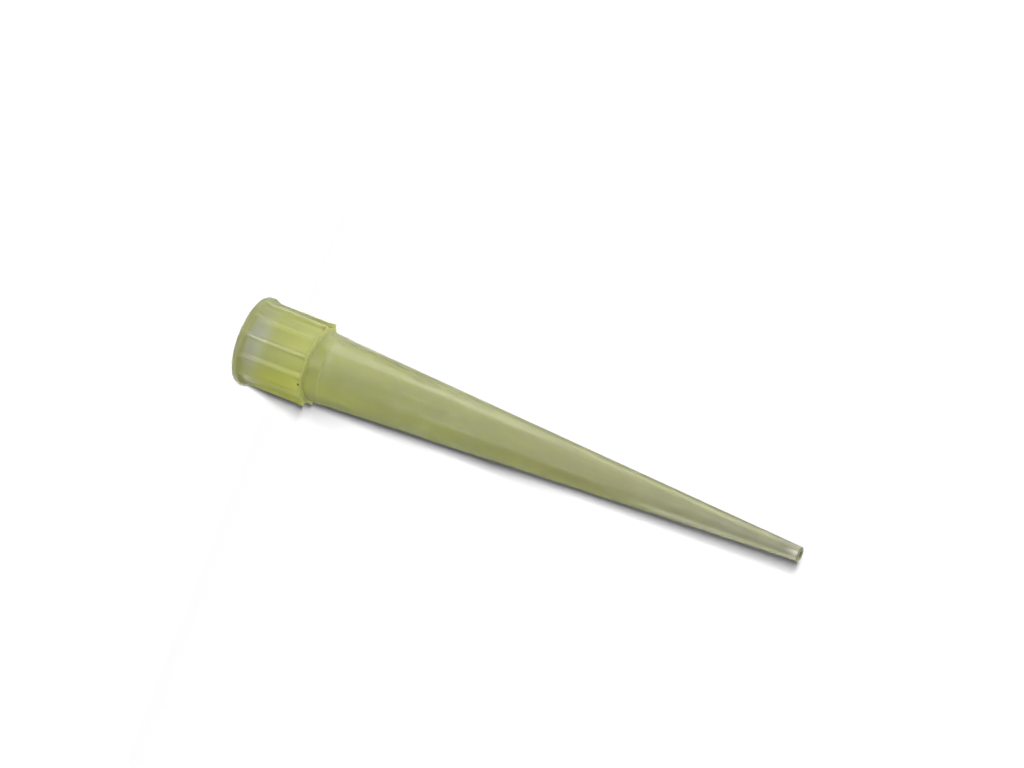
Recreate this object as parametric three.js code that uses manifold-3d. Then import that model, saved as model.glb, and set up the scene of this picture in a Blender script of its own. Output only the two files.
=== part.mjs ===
// Universal pipette tip for 2 to 200 microlitres: one polypropylene moulding.
// Millimetres. It stands on its mouth: the mouth rim lies in Z = 0 and the fine end points up +Z.

import * as THREE from 'three';
import { mergeVertices } from 'three/addons/utils/BufferGeometryUtils.js';
import Module from 'manifold-3d';

// Overall
const tipLength = 51.0;

// Bore, from the mouth: a lead-in, a step, the socket for the pipette's nozzle, then the cone's own
const socketRadius = 2.91;
const socketTaper = 0.04; // what the socket's radius loses over its length
const socketDepth = 4.3; // from the mouth to where the bore narrows towards the cone
const leadInClearance = 0.14; // the lead-in's radius over the socket's
const leadInDepth = 1.95;
const mouthInnerRound = 0.12;
const stepLength = 0.15;
const coneBoreInset = 0.39; // the cone's bore begins this much inside the socket's end
const orificeRadius = 0.25;
const orificeLength = 1.2; // straight part of the bore at the fine end

// Collar: a tube round the socket with thin upright fins, ending in a flat shoulder
const collarLength = 6.2; // from the mouth to the shoulder
const collarWallAtRim = 0.33;
const collarWallAtShoulder = 0.42;

// Rim: the plain band round the mouth
const rimOverhang = 0.42; // how far the rim stands out from the collar's wall
const rimBandHeight = 0.47;
const rimEdgeRound = 0.16;
const rimUndersideHeight = 0.65; // height of the hollow curve from the band in to the collar's wall

// Fins
const finCount = 12;
const finThickness = 0.52;
const finHeight = 0.29; // how far a fin stands out from the collar's wall at the shoulder
const finNibHeight = 0.34; // each fin flares a little at the shoulder
const finNibLength = 0.6;
const finInsetAtRim = 0.03; // a fin starts this far inside the rim's own radius

// Neck: the short cylinder between the shoulder and the cone
const neckLength = 1.4;
const neckFillet = 0.1;
const neckStep = 0.05; // the step from the neck down to the cone, cut at 45 degrees

// Cone and fine end
const coneWall = 0.45; // wall where the cone begins
const fineEndWall = 0.37;
const fineEndRound = 0.06;

// Fineness of the faceted surface
const facetsPerFin = 6;
const stepsPerCurve = 3;

// Places that follow from the sizes above
const leadInRadius = socketRadius + leadInClearance;
const socketEndRadius = socketRadius - socketTaper;
const collarRadiusAtRim = leadInRadius + collarWallAtRim;
const collarRadiusAtShoulder = socketEndRadius + collarWallAtShoulder;
const rimRadius = collarRadiusAtRim + rimOverhang;
const finRadius = collarRadiusAtShoulder + finHeight;
const finNibRadius = collarRadiusAtShoulder + finNibHeight;
const coneBoreRadius = socketEndRadius - coneBoreInset;
const coneBaseRadius = coneBoreRadius + coneWall;
const neckRadius = coneBaseRadius + neckStep;
const coneStart = collarLength + neckLength;
const fineEndRadius = orificeRadius + fineEndWall;
const undersideTop = rimBandHeight + rimUndersideHeight;
const facets = finCount * facetsPerFin;

// The wall's section in (radius, height): up the outside, over the fine end and down the bore.
function wallSection() {
  const section = new THREE.Path();
  const rimArcRadius = rimRadius - rimEdgeRound;
  section.moveTo(leadInRadius + mouthInnerRound, 0);
  section.lineTo(rimArcRadius, 0);
  section.absarc(rimArcRadius, rimEdgeRound, rimEdgeRound, -Math.PI / 2, 0, false);
  section.lineTo(rimRadius, rimBandHeight);
  section.quadraticCurveTo(
    collarRadiusAtRim, rimBandHeight + rimUndersideHeight / 4,
    collarRadiusAtRim, undersideTop,
  );
  section.lineTo(collarRadiusAtShoulder, collarLength);
  section.lineTo(neckRadius + neckFillet, collarLength);
  section.quadraticCurveTo(neckRadius, collarLength, neckRadius, collarLength + neckFillet);
  section.lineTo(neckRadius, coneStart);
  section.lineTo(coneBaseRadius, coneStart + neckStep);
  section.lineTo(fineEndRadius, tipLength - fineEndRound);
  section.quadraticCurveTo(fineEndRadius, tipLength, fineEndRadius - fineEndRound, tipLength);
  section.lineTo(orificeRadius, tipLength);
  section.lineTo(orificeRadius, tipLength - orificeLength);
  section.lineTo(coneBoreRadius, coneStart);
  section.lineTo(socketEndRadius, socketDepth);
  section.lineTo(socketRadius, leadInDepth + stepLength);
  section.lineTo(leadInRadius, leadInDepth);
  section.lineTo(leadInRadius, mouthInnerRound);
  section.quadraticCurveTo(leadInRadius, 0, leadInRadius + mouthInnerRound, 0);
  return section.getPoints(stepsPerCurve);
}

// One fin: its side in (radius, height), extruded by its thickness. Its foot lies inside the wall.
function finGeometry() {
  const footRadius = (leadInRadius + collarRadiusAtShoulder) / 2;
  const rimStartRadius = rimRadius - finInsetAtRim;
  const side = new THREE.Shape();
  side.moveTo(footRadius, rimBandHeight / 2);
  side.lineTo(rimStartRadius, rimBandHeight / 2);
  side.lineTo(rimStartRadius, rimBandHeight);
  side.quadraticCurveTo(
    finRadius, rimBandHeight + 0.7 * rimUndersideHeight,
    finRadius, undersideTop,
  );
  side.lineTo(finRadius, collarLength - finNibLength);
  side.lineTo(finNibRadius, collarLength - finNibLength / 2);
  side.lineTo(finNibRadius, collarLength);
  side.lineTo(footRadius, collarLength);
  const fin = new THREE.ExtrudeGeometry(side, {
    depth: finThickness,
    bevelEnabled: false,
    curveSegments: stepsPerCurve,
  });
  fin.rotateX(Math.PI / 2);
  fin.translate(0, finThickness / 2, 0);
  return fin;
}

const wasm = await Module();
wasm.setup();

function solidOf(geometry) {
  const bare = geometry.clone();
  bare.deleteAttribute('normal');
  bare.deleteAttribute('uv');
  const merged = mergeVertices(bare);
  return new wasm.Manifold(new wasm.Mesh({
    numProp: 3,
    vertProperties: merged.attributes.position.array,
    triVerts: new Uint32Array(merged.index.array),
  }));
}

function geometryOf(solid) {
  const mesh = solid.getMesh();
  const geometry = new THREE.BufferGeometry();
  geometry.setAttribute('position', new THREE.BufferAttribute(mesh.vertProperties, 3));
  geometry.setIndex(new THREE.BufferAttribute(mesh.triVerts, 1));
  geometry.computeVertexNormals();
  return geometry;
}

function tipGeometry() {
  const wall = new THREE.LatheGeometry(wallSection(), facets);
  wall.rotateX(Math.PI / 2);
  let tip = solidOf(wall);
  for (let i = 0; i < finCount; i += 1) {
    const fin = finGeometry();
    fin.rotateZ((i / finCount) * 2 * Math.PI);
    tip = tip.add(solidOf(fin));
  }
  return geometryOf(tip);
}

const polypropylene = new THREE.MeshStandardMaterial({
  color: 0xb4bb70,
  roughness: 0.35,
  metalness: 0,
});

const pipetteTip = new THREE.Mesh(tipGeometry(), polypropylene);
pipetteTip.name = 'pipette_tip';

const part = new THREE.Group();
part.add(pipetteTip);

export default part;
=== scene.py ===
# Looks of the pipette tip: a fine mesh of the one-piece moulding, in translucent yellow polypropylene.
import math

import bpy
import numpy as np
from mathutils import Matrix, Vector


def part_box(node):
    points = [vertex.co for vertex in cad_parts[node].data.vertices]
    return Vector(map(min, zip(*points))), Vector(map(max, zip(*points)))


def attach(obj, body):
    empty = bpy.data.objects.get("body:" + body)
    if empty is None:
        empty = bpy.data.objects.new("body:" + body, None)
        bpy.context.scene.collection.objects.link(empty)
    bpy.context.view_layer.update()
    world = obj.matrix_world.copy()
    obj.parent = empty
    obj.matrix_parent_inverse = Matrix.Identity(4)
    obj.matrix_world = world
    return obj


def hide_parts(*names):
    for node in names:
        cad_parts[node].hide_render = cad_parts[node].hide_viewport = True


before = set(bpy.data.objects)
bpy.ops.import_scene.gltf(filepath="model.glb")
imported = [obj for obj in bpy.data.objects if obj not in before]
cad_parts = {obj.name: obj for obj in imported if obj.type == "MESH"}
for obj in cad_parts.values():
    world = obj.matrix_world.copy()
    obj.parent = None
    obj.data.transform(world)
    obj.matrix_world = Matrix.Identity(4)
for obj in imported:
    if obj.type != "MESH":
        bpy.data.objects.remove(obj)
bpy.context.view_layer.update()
low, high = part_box("pipette_tip")

MM = 0.001

# The moulding's sizes in millimetres, as in the CAD part: radii, and heights above the mouth
LENGTH = (high.z - low.z) / MM
RIM = (high.x - low.x) / MM / 2
RIM_BAND, RIM_ROUND, UNDERSIDE_TOP = 0.47, 0.16, 1.12
WALL_AT_RIM, WALL_AT_SHOULDER = 3.38, 3.29
SHOULDER, SHOULDER_ROUND = 6.2, 0.05
NECK, NECK_END, NECK_STEP, NECK_FILLET = 2.98, 7.6, 0.05, 0.1
FINE_END, FINE_ROUND = 0.62, 0.06
ORIFICE, ORIFICE_ROUND, ORIFICE_END = 0.25, 0.03, 49.8
BORE_AT_CONE, SOCKET_END, SOCKET_END_Z = 2.48, 2.87, 4.3
SOCKET, SOCKET_Z, LEAD_IN, LEAD_IN_Z, MOUTH_ROUND = 2.91, 2.1, 3.05, 1.95, 0.12

# Fins: how many, and their radius on the collar, at the flared end and over the rim
FINS, FIN, NIB, FIN_AT_RIM = 12, 3.58, 3.63, 3.77
FIN_HALF, FIN_CREST = 0.36, 0.05  # half widths of a fin and of its crest
CREST_CROWN = 0.04  # how much a crest is rounded, as a share of the fin's height
NIB_START, NIB_RISE = 5.6, 0.3  # where the fins begin to flare, and over what height they do
FOOT_CURVE = 0.7  # where a fin's foot turns upright, as a share of the rim's underside
# The mesh's columns on half a fin's pitch: distances from the fin's middle, closer together on its flank
FIN_COLUMNS = (0, 0.03, 0.06, 0.09, 0.12, 0.15, 0.18, 0.215, 0.25, 0.29, 0.33, 0.37, 0.46, 0.62)

# Softened edges: how far the mesh's rows stand back from the moulding's corners
BAND_EDGE, UNDER_EDGE, NECK_EDGE, ORIFICE_EDGE = 0.03, 0.02, 0.02, 0.008
SOCKET_EDGE, LEAD_IN_EDGE, LEAD_IN_DROP = 0.03, 0.01, 0.02
NECK_STEP_ROWS = ((0.004, 0.0), (0.044, 0.036))  # rows on the neck's step: inwards and up from its corner

# The mesh's steps along the long stretches and the curves
CONE_STEPS, BORE_STEPS, COLLAR_STEPS, NIB_STEPS, CURVE_STEPS = 44, 40, 13, 6, 24
FOOT_STEPS, FOOT_START, FOOT_BUNCHING = 13, 0.03, 1.4  # rows gather low, where a fin's foot turns fastest
EDGE_TURNS = (30, 60, 90)  # degrees round the shoulder's edge
SHOULDER_RINGS = (0.35, 0.7, 1)  # shares of the way in from the shoulder's edge to the neck


def smooth(share):
    """A smooth step from 0 to 1."""
    share = np.clip(share, 0, 1)
    return share * share * (3 - 2 * share)


def quadratic(start, control, end, count):
    """Points (radius, height) on a quadratic curve in steps, without its start."""
    u = np.linspace(0, 1, count + 1)[1:, None]
    a, b, c = (np.array(p, float) for p in (start, control, end))
    return (1 - u) ** 2 * a + 2 * u * (1 - u) * b + u * u * c


def line(start, end, count):
    """Points (radius, height) on a straight line in steps, without its start."""
    u = np.linspace(0, 1, count + 1)[1:, None]
    return np.array(start) * (1 - u) + np.array(end) * u


def corner(centre, radius, start_degrees, end_degrees, count):
    """Points (radius, height) on an arc in steps, with both its ends."""
    turn = np.radians(np.linspace(start_degrees, end_degrees, count + 1))
    return np.stack([centre[0] + radius * np.cos(turn), centre[1] + radius * np.sin(turn)], 1)


def columns():
    """The angles of the mesh's columns, and their shares of a fin's height, from 0 between fins to 1."""
    pitch = 2 * math.pi / FINS
    half = np.array(FIN_COLUMNS) / FIN
    one = np.concatenate([-half[:0:-1], half, [pitch / 2]])
    angle = np.concatenate([one + k * pitch for k in range(FINS)])
    off = np.abs((angle + pitch / 2) % pitch - pitch / 2) * FIN
    crown = 1 - CREST_CROWN * np.clip(off / FIN_CREST, 0, 1) ** 2
    return angle, (1 - smooth((off - FIN_CREST) / (FIN_HALF - FIN_CREST))) * crown


def foot_rows(share):
    """The rows of the rim's hollow underside and of the fins' feet on it."""
    height = UNDERSIDE_TOP - RIM_BAND
    under = np.concatenate([[(RIM, RIM_BAND)], quadratic(
        (RIM, RIM_BAND), (WALL_AT_RIM, RIM_BAND + height / 4), (WALL_AT_RIM, UNDERSIDE_TOP), CURVE_STEPS)])
    foot = np.concatenate([[(FIN_AT_RIM, RIM_BAND)], quadratic(
        (FIN_AT_RIM, RIM_BAND), (FIN, RIM_BAND + FOOT_CURVE * height), (FIN, UNDERSIDE_TOP), CURVE_STEPS)])
    rising = RIM_BAND + height * np.linspace(FOOT_START, 1, FOOT_STEPS) ** FOOT_BUNCHING
    for z in [RIM_BAND, *rising]:
        wall = RIM - UNDER_EDGE if z == RIM_BAND else np.interp(z, under[:, 1], under[:, 0])
        fin = np.interp(z, foot[:, 1], foot[:, 0])
        yield wall + max(0.0, fin - wall) * share, z


def collar_rows(share):
    """The rows of the finned wall, its rounded edge and the flat shoulder."""
    below = np.linspace(UNDERSIDE_TOP, NIB_START, COLLAR_STEPS + 1)[1:]
    flare = np.linspace(NIB_START, SHOULDER - SHOULDER_ROUND, NIB_STEPS + 1)[1:]
    for z in [*below, *flare]:
        up = (z - UNDERSIDE_TOP) / (SHOULDER - UNDERSIDE_TOP)
        wall = WALL_AT_RIM + (WALL_AT_SHOULDER - WALL_AT_RIM) * up
        fin = FIN + (NIB - FIN) * smooth((z - NIB_START) / NIB_RISE)
        yield wall + (fin - wall) * share, z
    edge = WALL_AT_SHOULDER + (NIB - WALL_AT_SHOULDER) * share
    for turn in np.radians(EDGE_TURNS):
        yield edge - SHOULDER_ROUND * (1 - np.cos(turn)), SHOULDER - SHOULDER_ROUND * (1 - np.sin(turn))
    for inward in SHOULDER_RINGS:
        yield (edge - SHOULDER_ROUND) * (1 - inward) + (NECK + NECK_FILLET) * inward, SHOULDER


def rows(share):
    """The mesh's rows, from the mouth's inner edge up the outside and down the bore: radii and a height."""
    cone_base = (NECK - NECK_STEP, NECK_END + NECK_STEP)
    mouth = (
        corner((LEAD_IN + MOUTH_ROUND, MOUTH_ROUND), MOUTH_ROUND, 180, 270, 5),
        line((LEAD_IN + MOUTH_ROUND, 0), (RIM - RIM_ROUND, 0), 3),
        corner((RIM - RIM_ROUND, RIM_ROUND), RIM_ROUND, -90, 0, 7)[1:],
        line((RIM, RIM_ROUND), (RIM, RIM_BAND - BAND_EDGE), 3),
    )
    cone = (
        quadratic((NECK + NECK_FILLET, SHOULDER), (NECK, SHOULDER), (NECK, SHOULDER + NECK_FILLET), 4),
        line((NECK, SHOULDER + NECK_FILLET), (NECK, NECK_END - NECK_EDGE), 6),
        [(NECK - inward, NECK_END + up) for inward, up in NECK_STEP_ROWS],
        [cone_base],
        line(cone_base, (FINE_END, LENGTH - FINE_ROUND), CONE_STEPS),
    )
    fine_end = (
        corner((FINE_END - FINE_ROUND, LENGTH - FINE_ROUND), FINE_ROUND, 0, 90, 4)[1:],
        line((FINE_END - FINE_ROUND, LENGTH), (ORIFICE + ORIFICE_ROUND, LENGTH), 2),
        [(ORIFICE + ORIFICE_EDGE, LENGTH - ORIFICE_EDGE), (ORIFICE, LENGTH - ORIFICE_ROUND)],
    )
    bore = (
        line((ORIFICE, LENGTH - ORIFICE_ROUND), (ORIFICE, ORIFICE_END), 3),
        line((ORIFICE, ORIFICE_END), (BORE_AT_CONE, NECK_END), BORE_STEPS),
        line((BORE_AT_CONE, NECK_END), (SOCKET_END, SOCKET_END_Z), 6),
        line((SOCKET_END, SOCKET_END_Z), (SOCKET, SOCKET_Z + SOCKET_EDGE), 5),
        line((SOCKET, SOCKET_Z), (LEAD_IN - LEAD_IN_EDGE, LEAD_IN_Z + LEAD_IN_EDGE), 4),
        line((LEAD_IN, LEAD_IN_Z - LEAD_IN_DROP), (LEAD_IN, MOUTH_ROUND), 5)[:-1],
    )

    def turned(*stretches):
        return [(np.full(len(share), r), z) for points in stretches for r, z in points]

    finned = [*foot_rows(share), *collar_rows(share)]
    return [*turned(*mouth), *finned, *turned(*cone, *fine_end, *bore)]


def moulding():
    """The whole moulding as one closed mesh, in metres."""
    angle, share = columns()
    table = rows(share)
    ring = [
        np.stack([radii * np.cos(angle), radii * np.sin(angle), np.full(len(angle), z)], 1)
        for radii, z in table]
    points = np.concatenate(ring) * MM + [0, 0, low.z]
    n, m = len(table), len(angle)
    faces = [
        (i * m + j, i * m + (j + 1) % m, (i + 1) % n * m + (j + 1) % m, (i + 1) % n * m + j)
        for i in range(n) for j in range(m)]
    mesh = bpy.data.meshes.new("tip")
    mesh.from_pydata(points.tolist(), [], faces)
    mesh.validate()
    mesh.shade_smooth()
    piece = bpy.data.objects.new("tip", mesh)
    bpy.context.scene.collection.objects.link(piece)
    return piece


# The camera: the tip stands up but lies in the picture, so the camera is rolled by a quarter turn and ROLL
AZIMUTH, ELEVATION, ROLL = (math.radians(degrees) for degrees in (4.0, 20.41, 21.34))
DISTANCE, PIXELS_PER_MM, PICTURE_WIDTH, SENSOR = 900.0, 12.262, 1024, 36.0
OFFSET_ALONG, OFFSET_SIDE = -2.80, -4.35  # millimetres, as the distance and the sensor are

# Directions: level towards the camera, up, straight to the camera, and a picture's up and right without roll
HORIZONTAL = Vector((math.sin(AZIMUTH), -math.cos(AZIMUTH), 0))
UP = Vector((0, 0, 1))
TOWARDS = HORIZONTAL * math.cos(ELEVATION) + UP * math.sin(ELEVATION)
ALONG = UP * math.cos(ELEVATION) - HORIZONTAL * math.sin(ELEVATION)
SIDE = Vector((math.cos(AZIMUTH), math.sin(AZIMUTH), 0))
MIDDLE = (low + high) / 2
EYE = MIDDLE + (TOWARDS * DISTANCE + ALONG * OFFSET_ALONG + SIDE * OFFSET_SIDE) * MM


def place(forward, across, height):
    """A point from millimetres: level towards the camera, along SIDE, and up from the mouth's centre."""
    return (HORIZONTAL * forward + SIDE * across + UP * height) * MM


def camera():
    """The camera, with the tip's length across its picture."""
    data = bpy.data.cameras.new("camera")
    data.sensor_width = SENSOR
    data.lens = PIXELS_PER_MM * DISTANCE * SENSOR / PICTURE_WIDTH
    data.clip_start, data.clip_end = 0.01, 20
    item = bpy.data.objects.new("camera", data)
    right = ALONG * math.cos(ROLL) - SIDE * math.sin(ROLL)
    upwards = -(ALONG * math.sin(ROLL) + SIDE * math.cos(ROLL))
    turn = Matrix((right, upwards, TOWARDS)).transposed().to_4x4()
    item.matrix_world = Matrix.Translation(EYE) @ turn
    bpy.context.scene.collection.objects.link(item)
    bpy.context.scene.camera = item


class Nodes:
    """One node tree. A value is a number, a colour, a vector or another node's output."""

    def __init__(self, owner):
        owner.use_nodes = True
        self.tree = owner.node_tree
        self.tree.nodes.clear()

    def add(self, kind, values=None, **settings):
        """A new node with its settings, and with its inputs by name or number, as values or as links."""
        made = self.tree.nodes.new("ShaderNode" + kind)
        for name, setting in settings.items():
            setattr(made, name, setting)
        for socket, value in (values or {}).items():
            if isinstance(value, bpy.types.NodeSocket):
                self.tree.links.new(value, made.inputs[socket])
            else:
                made.inputs[socket].default_value = value
        return made

    def maths(self, operation, first, *others):
        for other in others:
            first = self.add("Math", {0: first, 1: other}, operation=operation).outputs[0]
        return first

    def product(self, *values):
        return self.maths("MULTIPLY", *values)

    def total(self, *values):
        return self.maths("ADD", *values)

    def vector(self, operation, first, second, output="Vector"):
        return self.add("VectorMath", {0: first, 1: second}, operation=operation).outputs[output]

    def scaled(self, vector, factor):
        return self.add("VectorMath", {0: vector, "Scale": factor}, operation="SCALE").outputs["Vector"]

    def unit(self, vector):
        return self.add("VectorMath", {0: vector}, operation="NORMALIZE").outputs["Vector"]

    def length(self, vector):
        return self.add("VectorMath", {0: vector}, operation="LENGTH").outputs["Value"]

    def ramp(self, value, start, end):
        """A smooth step, 0 at start and 1 at end. It falls with the value where start is the larger."""
        rising = start < end
        limits = {
            "From Min": min(start, end),
            "From Max": max(start, end),
            "To Min": 0.0 if rising else 1.0,
            "To Max": 1.0 if rising else 0.0,
        }
        made = self.add("MapRange", {"Value": value, **limits}, interpolation_type="SMOOTHSTEP")
        return made.outputs["Result"]

    def band(self, value, start, full, fade, end):
        """1 from full to fade, and 0 below start and above end."""
        return self.product(self.ramp(value, start, full), self.ramp(value, end, fade))

    def noise(self, at, scale, detail):
        return self.add("TexNoise", {"Vector": at, "Scale": scale, "Detail": detail}).outputs["Fac"]

    def tinted(self, share, colour, tint):
        return self.add("Mix", {0: share, 6: colour, 7: tint}, data_type="RGBA").outputs[2]

    def seen(self):
        """1 on rays from the camera, and on rays reflected by a surface or passed through one."""
        path = self.add("LightPath").outputs
        rays = (path[f"Is {kind} Ray"] for kind in ("Camera", "Glossy", "Transmission"))
        return self.maths("MAXIMUM", *rays)


# The plastic's looks. Places are in millimetres: heights above the mouth, radii, and distances along X.
# A RANGE runs from where there is none of a thing to where there is all of it, and a BAND starts, is full,
# fades and ends.

# The plastic's colour on the collar, and up the cone, where it turns darker and greyer towards the fine end:
# the plastic's tone with painted shade in it, set stop by stop to the cone's shading
DEEP, DEEP_TO_CONE = (0.80, 0.825, 0.285, 1), (5.8, 6.6)
UP_THE_CONE = (
    (6.6, (0.634, 0.656, 0.264, 1)),
    (11.0, (0.610, 0.625, 0.269, 1)),
    (15.5, (0.535, 0.547, 0.252, 1)),
    (21.5, (0.494, 0.508, 0.231, 1)),
    (28.5, (0.437, 0.440, 0.184, 1)),
    (35.5, (0.379, 0.381, 0.162, 1)),
    (42.5, (0.299, 0.303, 0.133, 1)),
    (48.5, (0.193, 0.200, 0.069, 1)),
    (51.0, (0.146, 0.151, 0.055, 1)),
)

# Clouds and flow lines in the plastic, and streaks in its finish: noise, by its scale and its detail. The
# lines and the streaks are drawn out along the tip
CLOUDS, FLOW, STREAKS, STRETCH = (0.33, 4), (1.1, 2), (1.4, 3), (1, 1, 0.06)
CLOUD_TINT, CLOUD_RANGE = (0.82, 0.84, 0.52, 1), (0.45, 0.8)
DARK_FLOW_TINT, DARK_FLOW_RANGE = (0.58, 0.61, 0.24, 1), (0.5, 0.7)
LIGHT_FLOW_TINT, LIGHT_FLOW_RANGE = (0.84, 0.86, 0.46, 1), (0.45, 0.3)
MOTTLE, MORE_MOTTLE, MORE_MOTTLE_RANGE = 0.10, 0.20, (30, 10)

# Tints, each with its colour, share and heights. The pale panes by the mouth are painted light, as if let
# through the wall there, and the fins' lighter crests are a painted highlight; both are painted most on the
# collar's front, which is turned a little from -Y towards +X
FRONT_TURN = 0.07
RIM_TINT, RIM_RANGE = (0.91, 0.95, 0.395, 1), (0.6, 0.4)
PANE_LIGHT_TINT, PANE_LIGHT_SHARE, PANE_BAND = (0.96, 1.0, 0.76, 1), 0.8, (0.6, 0.9, 1.7, 3.0)
PANE_BEHIND, PANE_FRONT, PANE_FRONT_RANGE = 0.3, 0.7, (0.70, 0.93)
# Painted highlight: a light line along the crest of the fin that faces the front
CREST_HIGHLIGHT_TINT, CREST_HIGHLIGHT_SHARE, CREST_BAND = (0.95, 0.96, 0.50, 1), 0.45, (0.9, 1.4, 5.0, 5.8)
CREST_FRONT_RANGE, CREST_RADIUS_RANGE = (0.90, 0.985), (3.45, 3.57)
# Painted shade: the shoulder's step is darkened against the light that its upward face catches
SHOULDER_SHADE_TINT, SHOULDER_SHADE_SHARE, SHOULDER_BAND = (0.58, 0.61, 0.22, 1), 0.5, (6.03, 6.13, 6.25, 6.4)
# Painted light: the collar's +X side is made greener and brighter, like light let through the plastic on
# that side
LIME_LIGHT_TINT, LIME_LIGHT_SHARE, LIME_LIGHT_BAND = (0.95, 0.98, 0.27, 1), 0.7, (1.2, 2.6, 6.0, 6.2)
# Painted highlight: a light line round the step at the neck's end, on its +X side
RING_HIGHLIGHT_TINT, RING_HIGHLIGHT_SHARE, RING_HIGHLIGHT_BAND = (0.93, 0.94, 0.42, 1), 0.4, (7.48, 7.58, 7.62, 7.70)
LIME_LIGHT_SIDE, RING_HIGHLIGHT_SIDE = (1.2, 3.2), (-0.5, 1.5)  # the collar's greener side and the neck's end, along X
DIRT_TINT, DIRT_AT, DIRT_RANGE = (0.05, 0.04, 0.01, 1), (2.25, -2.4, 6.04), (0.13, 0.08)  # one small speck

# Finish. The shoulder is matt, without the coat's gloss, and like the fine end it lets less light through
ROUGHNESS, STREAK_ROUGHNESS, COLLAR_ROUGHNESS, MATT_ROUGHNESS = 0.19, 0.10, 0.12, 0.30
COLLAR_RANGE, MATT_BAND, COAT = (6.3, 6.0), (6.00, 6.12, 6.25, 6.4), 0.25
CLEAR, LESS_CLEAR, DENSE_BAND, DENSE_END = 0.65, 0.3, (6.12, 6.18, 6.25, 6.4), (49.6, 50.8)
BUMP, BUMP_DEPTH, SCATTER_DEPTH = 0.10, 0.03, 1.5

# On the collar's outside the normals lean outwards by this much, so that the fins reflect softly
LEAN, LEAN_RADIUS_RANGE, LEAN_BAND = 1.2, (3.2, 3.3), (0.1, 0.3, 5.8, 6.1)


def tints(nodes, at, radius):
    """The tints over the plastic's colour, painted light and shade among them, from the lowest up, each as
    its share and its colour.
    """
    x, y, z = nodes.add("SeparateXYZ", {0: at}).outputs
    clouds = nodes.noise(at, *CLOUDS)
    flow = nodes.noise(nodes.vector("MULTIPLY", at, STRETCH), *FLOW)
    mottle = nodes.total(nodes.product(nodes.ramp(z, *MORE_MOTTLE_RANGE), MORE_MOTTLE), MOTTLE)
    front = nodes.maths("SUBTRACT", nodes.product(x, FRONT_TURN), y)
    front = nodes.maths("DIVIDE", front, radius)
    # the panes' painted light, strongest on the front
    pane_light = nodes.total(nodes.product(nodes.ramp(front, *PANE_FRONT_RANGE), PANE_FRONT), PANE_BEHIND)
    # where the crest's painted highlight lies: the fin that faces the front
    crest_highlight = nodes.product(nodes.ramp(radius, *CREST_RADIUS_RANGE), nodes.ramp(front, *CREST_FRONT_RANGE))
    # the sides that carry the collar's painted light and the neck ring's painted highlight
    lime_light_side, ring_highlight_side = nodes.ramp(x, *LIME_LIGHT_SIDE), nodes.ramp(x, *RING_HIGHLIGHT_SIDE)
    return (
        (nodes.product(nodes.ramp(clouds, *CLOUD_RANGE), mottle), CLOUD_TINT),
        (nodes.product(nodes.ramp(flow, *DARK_FLOW_RANGE), mottle), DARK_FLOW_TINT),
        (nodes.product(nodes.ramp(flow, *LIGHT_FLOW_RANGE), mottle), LIGHT_FLOW_TINT),
        (nodes.ramp(z, *RIM_RANGE), RIM_TINT),
        (nodes.product(nodes.band(z, *PANE_BAND), pane_light, PANE_LIGHT_SHARE), PANE_LIGHT_TINT),
        (nodes.product(nodes.band(z, *CREST_BAND), crest_highlight, CREST_HIGHLIGHT_SHARE), CREST_HIGHLIGHT_TINT),
        (nodes.product(nodes.band(z, *SHOULDER_BAND), SHOULDER_SHADE_SHARE), SHOULDER_SHADE_TINT),
        (nodes.product(nodes.band(z, *LIME_LIGHT_BAND), lime_light_side, LIME_LIGHT_SHARE), LIME_LIGHT_TINT),
        (nodes.product(nodes.band(z, *RING_HIGHLIGHT_BAND), ring_highlight_side, RING_HIGHLIGHT_SHARE), RING_HIGHLIGHT_TINT),
        (nodes.ramp(nodes.vector("DISTANCE", at, DIRT_AT, "Value"), *DIRT_RANGE), DIRT_TINT),
    )


def plastic_colour(nodes, at, radius, z):
    """The colour at a place on the tip, painted light and shade included, which lies in millimetres at a
    radius and a height z.
    """
    cone = nodes.add("ValToRGB", {"Fac": nodes.product(z, 1 / LENGTH)})
    stops = cone.color_ramp.elements
    for height, colour in UP_THE_CONE[1:-1]:
        stops.new(height / LENGTH)
    for stop, (height, colour) in zip(stops, UP_THE_CONE):
        stop.position, stop.color = height / LENGTH, colour
    colour = nodes.tinted(nodes.ramp(z, *DEEP_TO_CONE), DEEP, cone.outputs["Color"])
    for share, tint in tints(nodes, at, radius):
        colour = nodes.tinted(share, colour, tint)
    return colour


def calm_normal(nodes, flat, radius, z):
    """The surface's normal, which leans outwards from the tip's axis on the outside of the collar."""
    geometry = nodes.add("NewGeometry").outputs
    facing = nodes.maths("SUBTRACT", LEAN, nodes.product(geometry["Backfacing"], 2 * LEAN))
    lean = nodes.product(nodes.ramp(radius, *LEAN_RADIUS_RANGE), nodes.band(z, *LEAN_BAND), facing)
    outward = nodes.scaled(nodes.unit(flat), lean)
    return nodes.unit(nodes.vector("ADD", outward, geometry["Normal"]))


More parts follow.
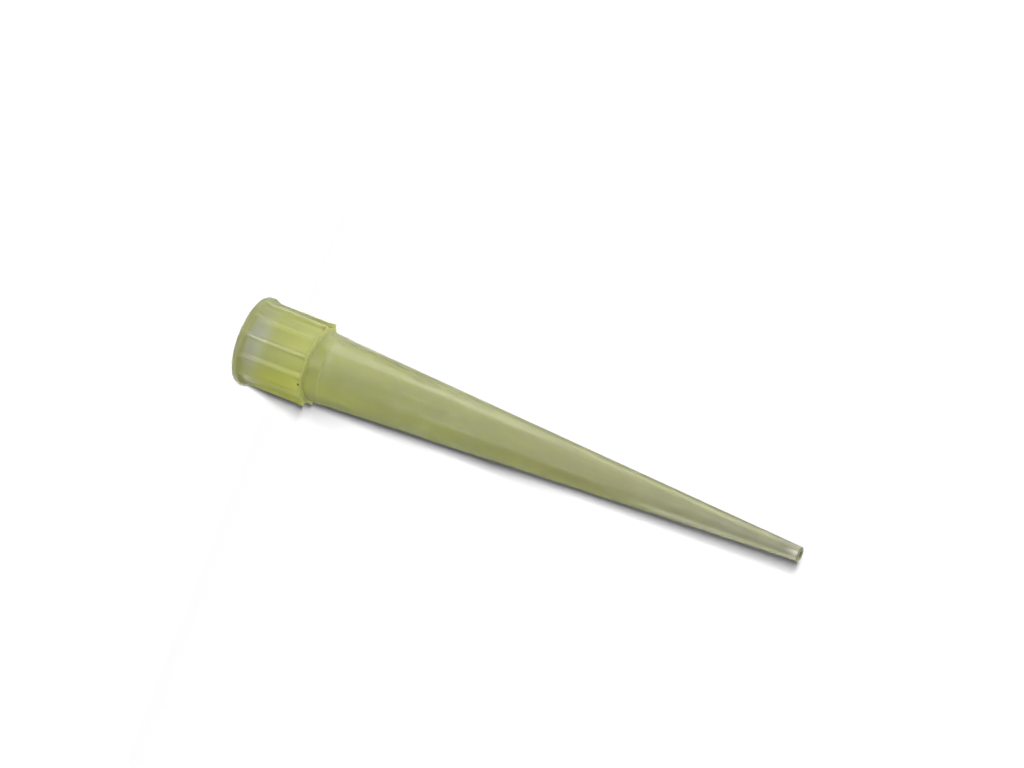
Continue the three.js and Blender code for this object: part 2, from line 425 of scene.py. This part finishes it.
def polypropylene():
    """Translucent plastic, whose colour and finish depend on the place on the tip."""
    material = bpy.data.materials.new("polypropylene")
    nodes = Nodes(material)
    at = nodes.scaled(nodes.add("TexCoord").outputs["Object"], 1 / MM)
    z = nodes.add("SeparateXYZ", {0: at}).outputs["Z"]
    flat = nodes.vector("MULTIPLY", at, (1, 1, 0))
    radius = nodes.length(flat)
    streaks = nodes.noise(nodes.vector("MULTIPLY", at, STRETCH), *STREAKS)
    matt = nodes.band(z, *MATT_BAND)
    dense = nodes.total(nodes.band(z, *DENSE_BAND), nodes.ramp(z, *DENSE_END))
    roughness = nodes.total(
        nodes.product(streaks, STREAK_ROUGHNESS), ROUGHNESS,
        nodes.product(nodes.ramp(z, *COLLAR_RANGE), COLLAR_ROUGHNESS),
        nodes.product(matt, MATT_ROUGHNESS),
    )
    bump = nodes.add("Bump", {
        "Strength": BUMP,
        "Distance": BUMP_DEPTH * MM,
        "Height": streaks,
        "Normal": calm_normal(nodes, flat, radius, z),
    })
    shader = nodes.add("BsdfPrincipled", {
        "Base Color": plastic_colour(nodes, at, radius, z),
        "Roughness": roughness,
        "IOR": 1.49,
        "Coat Weight": nodes.product(nodes.maths("SUBTRACT", 1.0, matt), COAT),
        "Coat Roughness": 0.09,
        "Transmission Weight": nodes.maths("SUBTRACT", CLEAR, nodes.product(dense, LESS_CLEAR)),
        "Subsurface Weight": 1.0,
        "Subsurface Radius": (1.0, 1.0, 0.5),
        "Subsurface Scale": SCATTER_DEPTH * MM,
        "Normal": bump.outputs["Normal"],
    })
    volume = nodes.add("VolumeAbsorption", {"Color": (0.80, 0.85, 0.35, 1), "Density": 650})
    nodes.add("OutputMaterial", {"Surface": shader.outputs[0], "Volume": volume.outputs[0]})
    return material


# Light on the floor: the world's, and lamps beside the camera whose light the floor's colour evens out
AMBIENT, FLOOR_WATTS, FLOOR_LEVEL = 0.43, 90.0, 1.055
FLOOR_SIZE, DARKEST_FLOOR, PALEST_FLOOR = 8.0, 0.212, 0.8
WHITE_FROM, WHITE_AT = 0.16, 0.45  # metres from the tip, between which the floor turns plain white
WHITE = (1, 1, 1, 1)


def square(size):
    """The corners of a level square round the origin."""
    half = size / 2
    return [(-half, -half, 0), (half, -half, 0), (half, half, 0), (-half, half, 0)]


def sheet(name, corners, matrix=None):
    """A flat sheet with four corners."""
    mesh = bpy.data.meshes.new(name)
    mesh.from_pydata(corners, [], [(0, 1, 2, 3)])
    item = bpy.data.objects.new(name, mesh)
    if matrix is not None:
        item.matrix_world = matrix
    bpy.context.scene.collection.objects.link(item)
    return item


def placed(middle, right, up, width, height):
    """The matrix that turns square(1) into a rectangle in its place, with its sizes in millimetres."""
    turn = Matrix((right, up, right.cross(up))).transposed().to_4x4()
    return Matrix.Translation(middle) @ turn @ Matrix.Diagonal((width * MM, height * MM, 1, 1))


def floor_material():
    """A pale floor as white as the backdrop where its lamps reach it, and plain white far away."""
    material = bpy.data.materials.new("floor")
    nodes = Nodes(material)
    at = nodes.add("TexCoord").outputs["Object"]
    away = nodes.vector("DISTANCE", at, EYE, "Value")
    # a lamp's light on a level floor falls with the cube of its distance
    lit = nodes.maths("DIVIDE", FLOOR_WATTS / math.pi ** 2 * EYE.z, nodes.maths("POWER", away, 3.0))
    grey = nodes.maths("DIVIDE", FLOOR_LEVEL, nodes.total(lit, AMBIENT))
    grey = nodes.maths("MAXIMUM", nodes.maths("MINIMUM", grey, PALEST_FLOOR), DARKEST_FLOOR)
    diffuse = nodes.add("BsdfDiffuse", {"Color": grey})
    far = nodes.ramp(nodes.length(at), WHITE_FROM, WHITE_AT)
    glow = nodes.add("Emission", {"Strength": nodes.product(nodes.seen(), far)})
    both = nodes.add("AddShader", {0: diffuse.outputs[0], 1: glow.outputs[0]})
    nodes.add("OutputMaterial", {"Surface": both.outputs[0]})
    return material


def backdrop():
    """The world: soft light on the tip, and plain white to the eye."""
    world = bpy.data.worlds.new("world")
    bpy.context.scene.world = world
    nodes = Nodes(world)
    ambient = nodes.add("Background", {"Color": WHITE, "Strength": AMBIENT})
    white = nodes.add("Background", {"Color": WHITE, "Strength": 1.0})
    mix = nodes.add("MixShader", {0: nodes.seen(), 1: ambient.outputs[0], 2: white.outputs[0]})
    nodes.add("OutputWorld", {"Surface": mix.outputs[0]})


def lamp(name, at, target, size, watts, receiver):
    """A soft box of a size in millimetres, facing a target, which lights one object alone."""
    data = bpy.data.lights.new(name, "AREA")
    data.shape = "RECTANGLE"
    data.size, data.size_y = size[0] * MM, size[1] * MM
    data.energy = watts
    item = bpy.data.objects.new(name, data)
    item.location = at
    item.rotation_euler = (at - target).to_track_quat("Z", "Y").to_euler()
    item.visible_camera = False
    bpy.context.scene.collection.objects.link(item)
    lit = bpy.data.collections.new(name + "_lights")
    lit.objects.link(receiver)
    item.light_linking.receiver_collection = lit
    return item


# Lamps on the tip: name, its place and what it faces (forward, across, height), size (all mm), watts, and
# whether it only shows as a reflection
TIP_LAMPS = (
    ("softbox", (0, -60, 28), (0, 0, 28), (60, 90), 0.0175, False),
    ("streak_light", (5, -16.8, 13.1), (5, -1.3, 25.7), (7, 23), 0.00105, True),
    ("front_light", (22, -17, 20), (0, 0, 20), (32, 42), 0.002, True),
    ("thread_light", (22, 12.5, 16), (0, 0, 16), (1.2, 24), 0.0005, True),
    ("edge_light", (3, 19, 41), (0, 0, 46), (8, 18), 0.0011, True),
    ("top_light", (40, -60, 230), (0, 0, 10), (120, 120), 0.135, False),
    ("glint_light", (12.6, -1.5, 0.1), (12.6, -1.5, 30), (1.6, 13), 0.0009, True),
)


def tip_lamps(tip):
    """The lamps that light the tip alone."""
    for name, at, target, size, watts, reflection_only in TIP_LAMPS:
        item = lamp(name, place(*at), place(*target), size, watts, tip)
        if reflection_only:
            item.visible_diffuse = item.visible_transmission = False


# Flags: places (forward, across, height) and sizes, all in mm. The flag beside the tip leans along SLANT
BESIDE_AT, BESIDE_SIZE, SLANT = (-7, 17, 15), (65, 37), (0, 22, 30)
BEHIND_AT, BEHIND_SIZE = (-26, -16, 22), (40, 46)
EDGE_CORNERS = ((-7.5, 7, 1), (-30, 7, 1), (-55, 14.5, 45), (-15, 14.5, 45))

# Their glow. The one beside the tip gains upwards and towards the camera: its ranges are shares of its
# height and its width, from -0.5 to 0.5
BEHIND_GLOW, EDGE_GLOW, LEAST_GLOW = 0.6, 0.1, 0.18
UPWARDS_GLOW, UPWARDS_RANGE = 0.22, (-0.5, 0.1)
FORWARDS_GLOW, FORWARDS_RANGE = 0.48, (0.05, 0.5)


def graded(nodes):
    """The glow of the flag beside the tip."""
    x, y, _ = nodes.add("SeparateXYZ", {0: nodes.add("TexCoord").outputs["Object"]}).outputs
    upwards = nodes.product(nodes.ramp(y, *UPWARDS_RANGE), UPWARDS_GLOW)
    forwards = nodes.product(nodes.ramp(x, *FORWARDS_RANGE), FORWARDS_GLOW)
    return nodes.total(upwards, LEAST_GLOW, forwards)


def flag(name, corners, matrix, material_name, glow):
    """A grey card that only shows as a reflection. Its glow is a number, or a function of its nodes."""
    item = sheet(name, corners, matrix)
    material = bpy.data.materials.new(material_name)
    nodes = Nodes(material)
    emission = nodes.add("Emission", {"Strength": glow(nodes) if callable(glow) else glow})
    nodes.add("OutputMaterial", {"Surface": emission.outputs[0]})
    item.data.materials.append(material)
    item.visible_camera = item.visible_diffuse = item.visible_transmission = item.visible_shadow = False


def flags():
    """Cards that darken the reflections on the tip's lower side, behind it and along its edge."""
    beside = placed(place(*BESIDE_AT), HORIZONTAL, place(*SLANT).normalized(), *BESIDE_SIZE)
    flag("flag", square(1), beside, "flag_graded", graded)
    behind = placed(place(*BEHIND_AT), HORIZONTAL, UP, *BEHIND_SIZE)
    flag("flag_behind", square(1), behind, "flag_bright", BEHIND_GLOW)
    flag("flag_edge", [place(*at) for at in EDGE_CORNERS], None, "flag_dark", EDGE_GLOW)


# Lamps on the floor lay the tip's narrow shadow beside it. Each lights one stretch of floor behind the tip,
# from start to end, between barn doors that stand at a share of the way to the floor. All sizes are in mm:
# name, distance beside the camera, width, height, start, end, the doors' share
FLOOR_LAMPS = (
    ("collar_lamp", 48, 70, 22, None, 19, 0.7),
    ("neck_lamp", 15, 22, 3.5, 19, 40, 0.3),
    ("middle_lamp", 9, 13, 3.5, 40, 75, 0.3),
    ("cone_lamp", 4.8, 7.5, 3.5, 75, None, 0.3),
)
DOOR_WIDTH, DOOR_HEIGHT = 120, 50


def door(name, share, edge, upper):
    """A barn door, which keeps light off the floor beyond its edge, or before it where it isn't upper."""
    through = EYE.lerp(place(-edge, 0, 0), share)
    middle = through + UP * (DOOR_HEIGHT / 2 * MM if upper else -DOOR_HEIGHT / 2 * MM)
    item = sheet(name, square(1), placed(middle, SIDE, UP, DOOR_WIDTH, DOOR_HEIGHT))
    item.visible_camera = item.visible_diffuse = item.visible_glossy = item.visible_transmission = False
    return item


def floor_lamps(floor, tip):
    """The lamps that light the floor alone, with the tip and their barn doors in their light."""
    for name, aside, width, height, start, end, share in FLOOR_LAMPS:
        beside = SIDE * aside * MM
        item = lamp(name, EYE - beside, MIDDLE - beside, (width, height), FLOOR_WATTS, floor)
        blockers = bpy.data.collections.new(name + "_blockers")
        blockers.objects.link(tip)
        if end is not None:
            blockers.objects.link(door(name + "_upper", share, end, True))
        if start is not None:
            blockers.objects.link(door(name + "_lower", share, start, False))
        item.light_linking.blocker_collection = blockers


tip = moulding()
tip.data.materials.append(polypropylene())
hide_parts("pipette_tip")
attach(tip, "root")

floor = sheet("floor", square(FLOOR_SIZE))
floor.data.materials.append(floor_material())
backdrop()
camera()
tip_lamps(tip)
flags()
floor_lamps(floor, tip)
bpy.context.scene.view_settings.view_transform = "Standard"
